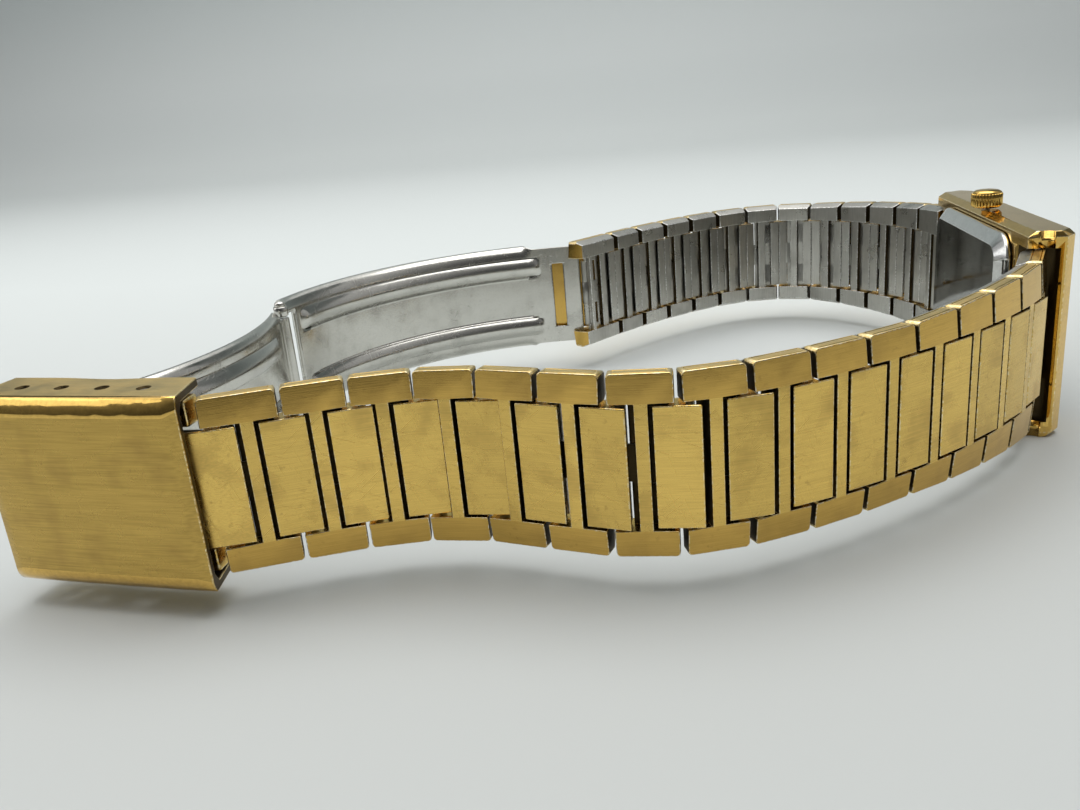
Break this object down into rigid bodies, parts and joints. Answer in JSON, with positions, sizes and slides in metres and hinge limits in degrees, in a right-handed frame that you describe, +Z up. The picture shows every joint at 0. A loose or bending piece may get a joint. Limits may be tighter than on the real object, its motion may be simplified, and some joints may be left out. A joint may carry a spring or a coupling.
{
  "type": "analog wristwatch",
  "caption": "Slim rectangular quartz wristwatch with a hinged folded-link bracelet and a fold-over clasp, lying open on its flank.",
  "frame": {"origin": "on the floor, under the centre of the case, which lies on its nine o'clock flank", "axes": "+X out of the dial, +Y towards six o'clock, +Z up, towards the crown"},
  "size_m": [0.0894, 0.0863, 0.0221],
  "materials": {
    "case_gold": "polished gold plate",
    "link_gold": "satin gold plate with fine scratches",
    "cover_gold": "brushed gold plate",
    "crown_gold": "polished gold plate",
    "crystal_glass": "clear mineral glass",
    "seal_rubber": "black rubber",
    "dial_gilt": "gilt sunray",
    "hand_gold": "polished gold",
    "holder_plastic": "moulded",
    "movement_brass": "grained",
    "wheel_brass": "cut and gilt",
    "coil_copper": "enamelled wire",
    "stator_iron": "plain",
    "board_green": "lacquered board",
    "cell_steel": "bright nickel",
    "pin_steel": "drawn",
    "back_steel": "mirror polish",
    "blade_steel": "pressed and brushed"
  },
  "bodies": {
    "case": {"case_body": "case_gold", "crystal": "crystal_glass", "seals": "seal_rubber", "dial": "dial_gilt", "dial_markers": "hand_gold", "movement_holder": "holder_plastic", "main_plate": "movement_brass", "train_bridge": "movement_brass", "coil": "coil_copper", "stator": "stator_iron", "circuit_board": "board_green", "battery": "cell_steel", "battery_strap": "pin_steel", "caseback": "back_steel", "lug_bars": "pin_steel"},
    "rotor": {"rotor": "stator_iron"},
    "step_wheel": {"step_wheel": "wheel_brass"},
    "seconds": {"seconds_wheel": "wheel_brass", "second_hand": "hand_gold"},
    "third_wheel": {"third_wheel": "wheel_brass"},
    "minutes": {"cannon_pinion": "wheel_brass", "minute_hand": "hand_gold"},
    "hours": {"hour_wheel": "wheel_brass", "hour_hand": "hand_gold"},
    "setting_lever": {"setting_lever": "pin_steel"},
    "winding_stem": {"stem": "pin_steel", "crown": "crown_gold"},
    "upper_link_01": {"upper_link_01": "link_gold"},
    "upper_link_02": {"upper_link_02": "link_gold"},
    "upper_link_03": {"upper_link_03": "link_gold"},
    "upper_link_04": {"upper_link_04": "link_gold"},
    "upper_link_05": {"upper_link_05": "link_gold"},
    "upper_link_06": {"upper_link_06": "link_gold"},
    "upper_link_07": {"upper_link_07": "link_gold"},
    "upper_link_08": {"upper_link_08": "link_gold"},
    "upper_link_09": {"upper_link_09": "link_gold"},
    "upper_link_10": {"upper_link_10": "link_gold"},
    "upper_link_11": {"upper_link_11": "link_gold"},
    "upper_link_12": {"upper_link_12": "link_gold"},
    "upper_link_13": {"upper_link_13": "link_gold"},
    "upper_link_14": {"upper_link_14": "link_gold"},
    "upper_link_15": {"upper_link_15": "link_gold"},
    "upper_link_16": {"upper_link_16": "link_gold"},
    "clasp_end_link": {"clasp_end_link": "link_gold"},
    "clasp_cover": {"clasp_cover": "cover_gold"},
    "middle_blade": {"middle_blade": "blade_steel"},
    "inner_blade": {"inner_blade": "blade_steel"},
    "lower_link_01": {"lower_link_01": "link_gold"},
    "lower_link_02": {"lower_link_02": "link_gold"},
    "lower_link_03": {"lower_link_03": "link_gold"},
    "lower_link_04": {"lower_link_04": "link_gold"},
    "lower_link_05": {"lower_link_05": "link_gold"},
    "lower_link_06": {"lower_link_06": "link_gold"},
    "lower_link_07": {"lower_link_07": "link_gold"},
    "lower_link_08": {"lower_link_08": "link_gold"},
    "lower_link_09": {"lower_link_09": "link_gold"},
    "lower_link_10": {"lower_link_10": "link_gold"},
    "lower_link_11": {"lower_link_11": "link_gold"},
    "lower_link_12": {"lower_link_12": "link_gold"},
    "lower_link_13": {"lower_link_13": "link_gold"}
  },
  "joints": [
    {"name": "upper_hinge_01", "type": "hinge", "parent": "case", "child": "upper_link_01", "pos_m": [0, -0.0152, 0.0099], "axis": [0, 0, 1], "range_deg": [0, 14]},
    {"name": "upper_hinge_02", "type": "hinge", "parent": "upper_link_01", "child": "upper_link_02", "pos_m": [-0.00187, -0.01984, 0.0099], "axis": [0, 0, 1], "range_deg": [0, 14]},
    {"name": "upper_hinge_03", "type": "hinge", "parent": "upper_link_02", "child": "upper_link_03", "pos_m": [-0.00481, -0.02388, 0.0099], "axis": [0, 0, 1], "range_deg": [0, 14]},
    {"name": "upper_hinge_04", "type": "hinge", "parent": "upper_link_03", "child": "upper_link_04", "pos_m": [-0.00809, -0.02765, 0.0099], "axis": [0, 0, 1], "range_deg": [0, 14]},
    {"name": "upper_hinge_05", "type": "hinge", "parent": "upper_link_04", "child": "upper_link_05", "pos_m": [-0.01163, -0.03119, 0.0099], "axis": [0, 0, 1], "range_deg": [0, 14]},
    {"name": "upper_hinge_06", "type": "hinge", "parent": "upper_link_05", "child": "upper_link_06", "pos_m": [-0.0154, -0.03447, 0.0099], "axis": [0, 0, 1], "range_deg": [0, 14]},
    {"name": "upper_hinge_07", "type": "hinge", "parent": "upper_link_06", "child": "upper_link_07", "pos_m": [-0.01939, -0.03748, 0.0099], "axis": [0, 0, 1], "range_deg": [0, 14]},
    {"name": "upper_hinge_08", "type": "hinge", "parent": "upper_link_07", "child": "upper_link_08", "pos_m": [-0.02359, -0.0402, 0.0099], "axis": [0, 0, 1], "range_deg": [0, 14]},
    {"name": "upper_hinge_09", "type": "hinge", "parent": "upper_link_08", "child": "upper_link_09", "pos_m": [-0.028, -0.04255, 0.0099], "axis": [0, 0, 1], "range_deg": [0, 14]},
    {"name": "upper_hinge_10", "type": "hinge", "parent": "upper_link_09", "child": "upper_link_10", "pos_m": [-0.03278, -0.04401, 0.0099], "axis": [0, 0, 1], "range_deg": [0, 14]},
    {"name": "upper_hinge_11", "type": "hinge", "parent": "upper_link_10", "child": "upper_link_11", "pos_m": [-0.03778, -0.04392, 0.0099], "axis": [0, 0, 1], "range_deg": [0, 14]},
    {"name": "upper_hinge_12", "type": "hinge", "parent": "upper_link_11", "child": "upper_link_12", "pos_m": [-0.04259, -0.04255, 0.0099], "axis": [0, 0, 1], "range_deg": [0, 14]},
    {"name": "upper_hinge_13", "type": "hinge", "parent": "upper_link_12", "child": "upper_link_13", "pos_m": [-0.04737, -0.04108, 0.0099], "axis": [0, 0, 1], "range_deg": [0, 6]},
    {"name": "upper_hinge_14", "type": "hinge", "parent": "upper_link_13", "child": "upper_link_14", "pos_m": [-0.05236, -0.04082, 0.0099], "axis": [0, 0, 1], "range_deg": [0, 4]},
    {"name": "upper_hinge_15", "type": "hinge", "parent": "upper_link_14", "child": "upper_link_15", "pos_m": [-0.05724, -0.04195, 0.0099], "axis": [0, 0, 1], "range_deg": [0, 13]},
    {"name": "upper_hinge_16", "type": "hinge", "parent": "upper_link_15", "child": "upper_link_16", "pos_m": [-0.06193, -0.04366, 0.0099], "axis": [0, 0, 1], "range_deg": [0, 14]},
    {"name": "clasp_end_hinge", "type": "hinge", "parent": "upper_link_16", "child": "clasp_end_link", "pos_m": [-0.06657, -0.04553, 0.0099], "axis": [0, 0, 1], "range_deg": [0, 12]},
    {"name": "clasp_cover_hinge", "type": "hinge", "parent": "clasp_end_link", "child": "clasp_cover", "pos_m": [-0.07137, -0.04536, 0.0099], "axis": [0, 0, 1], "range_deg": [0, 8]},
    {"name": "middle_blade_hinge", "type": "hinge", "parent": "clasp_cover", "child": "middle_blade", "pos_m": [-0.08089, -0.04342, 0.0099], "axis": [0, 0, 1], "range_deg": [0, 40]},
    {"name": "inner_blade_hinge", "type": "hinge", "parent": "middle_blade", "child": "inner_blade", "pos_m": [-0.07525, -0.01141, 0.0099], "axis": [0, 0, 1], "range_deg": [0, 150]},
    {"name": "lower_hinge_01", "type": "hinge", "parent": "case", "child": "lower_link_01", "pos_m": [0, 0.0152, 0.0099], "axis": [0, 0, 1], "range_deg": [-16, 8]},
    {"name": "lower_hinge_02", "type": "hinge", "parent": "lower_link_01", "child": "lower_link_02", "pos_m": [-0.00093, 0.02011, 0.0099], "axis": [0, 0, 1], "range_deg": [-16, 8]},
    {"name": "lower_hinge_03", "type": "hinge", "parent": "lower_link_02", "child": "lower_link_03", "pos_m": [-0.00301, 0.02466, 0.0099], "axis": [0, 0, 1], "range_deg": [-16, 8]},
    {"name": "lower_hinge_04", "type": "hinge", "parent": "lower_link_03", "child": "lower_link_04", "pos_m": [-0.00579, 0.02882, 0.0099], "axis": [0, 0, 1], "range_deg": [-16, 8]},
    {"name": "lower_hinge_05", "type": "hinge", "parent": "lower_link_04", "child": "lower_link_05", "pos_m": [-0.00918, 0.03249, 0.0099], "axis": [0, 0, 1], "range_deg": [-16, 8]},
    {"name": "lower_hinge_06", "type": "hinge", "parent": "lower_link_05", "child": "lower_link_06", "pos_m": [-0.01326, 0.03538, 0.0099], "axis": [0, 0, 1], "range_deg": [-16, 8]},
    {"name": "lower_hinge_07", "type": "hinge", "parent": "lower_link_06", "child": "lower_link_07", "pos_m": [-0.01808, 0.0367, 0.0099], "axis": [0, 0, 1], "range_deg": [-16, 8]},
    {"name": "lower_hinge_08", "type": "hinge", "parent": "lower_link_07", "child": "lower_link_08", "pos_m": [-0.02305, 0.03612, 0.0099], "axis": [0, 0, 1], "range_deg": [-16, 8]},
    {"name": "lower_hinge_09", "type": "hinge", "parent": "lower_link_08", "child": "lower_link_09", "pos_m": [-0.02755, 0.03395, 0.0099], "axis": [0, 0, 1], "range_deg": [-16, 8]},
    {"name": "lower_hinge_10", "type": "hinge", "parent": "lower_link_09", "child": "lower_link_10", "pos_m": [-0.03156, 0.03097, 0.0099], "axis": [0, 0, 1], "range_deg": [-16, 8]},
    {"name": "lower_hinge_11", "type": "hinge", "parent": "lower_link_10", "child": "lower_link_11", "pos_m": [-0.03524, 0.02758, 0.0099], "axis": [0, 0, 1], "range_deg": [-16, 8]},
    {"name": "lower_hinge_12", "type": "hinge", "parent": "lower_link_11", "child": "lower_link_12", "pos_m": [-0.03867, 0.02394, 0.0099], "axis": [0, 0, 1], "range_deg": [-16, 8]},
    {"name": "lower_hinge_13", "type": "hinge", "parent": "lower_link_12", "child": "lower_link_13", "pos_m": [-0.04184, 0.02007, 0.0099], "axis": [0, 0, 1], "range_deg": [-16, 8]},
    {"name": "seconds_turn", "type": "hinge", "parent": "case", "child": "seconds", "pos_m": [0, 0, 0.0099], "axis": [-1, 0, 0], "continuous": true},
    {"name": "rotor_turn", "type": "hinge", "parent": "case", "child": "rotor", "pos_m": [0, -0.00415, 0.00755], "axis": [-1, 0, 0], "continuous": true},
    {"name": "step_wheel_turn", "type": "hinge", "parent": "case", "child": "step_wheel", "pos_m": [0, -0.0025, 0.00825], "axis": [-1, 0, 0], "continuous": true},
    {"name": "third_wheel_turn", "type": "hinge", "parent": "case", "child": "third_wheel", "pos_m": [0, 0.0012, 0.01175], "axis": [-1, 0, 0], "continuous": true},
    {"name": "minutes_turn", "type": "hinge", "parent": "case", "child": "minutes", "pos_m": [0, 0, 0.0099], "axis": [-1, 0, 0], "continuous": true},
    {"name": "hours_turn", "type": "hinge", "parent": "case", "child": "hours", "pos_m": [0, 0, 0.0099], "axis": [-1, 0, 0], "continuous": true},
    {"name": "crown_pull", "type": "slide", "parent": "case", "child": "setting_lever", "axis": [0, 0, 1], "range_m": [0, 0.0008]},
    {"name": "crown_turn", "type": "hinge", "parent": "setting_lever", "child": "winding_stem", "pos_m": [-0.0001, 0, 0.0099], "axis": [0, 0, 1], "continuous": true}
  ],
  "couplings": [
    {"joint": "rotor_turn", "follows": "seconds_turn", "ratio": 30},
    {"joint": "step_wheel_turn", "follows": "seconds_turn", "ratio": -5},
    {"joint": "third_wheel_turn", "follows": "seconds_turn", "ratio": -0.125},
    {"joint": "hours_turn", "follows": "minutes_turn", "ratio": 0.083333}
  ]
}
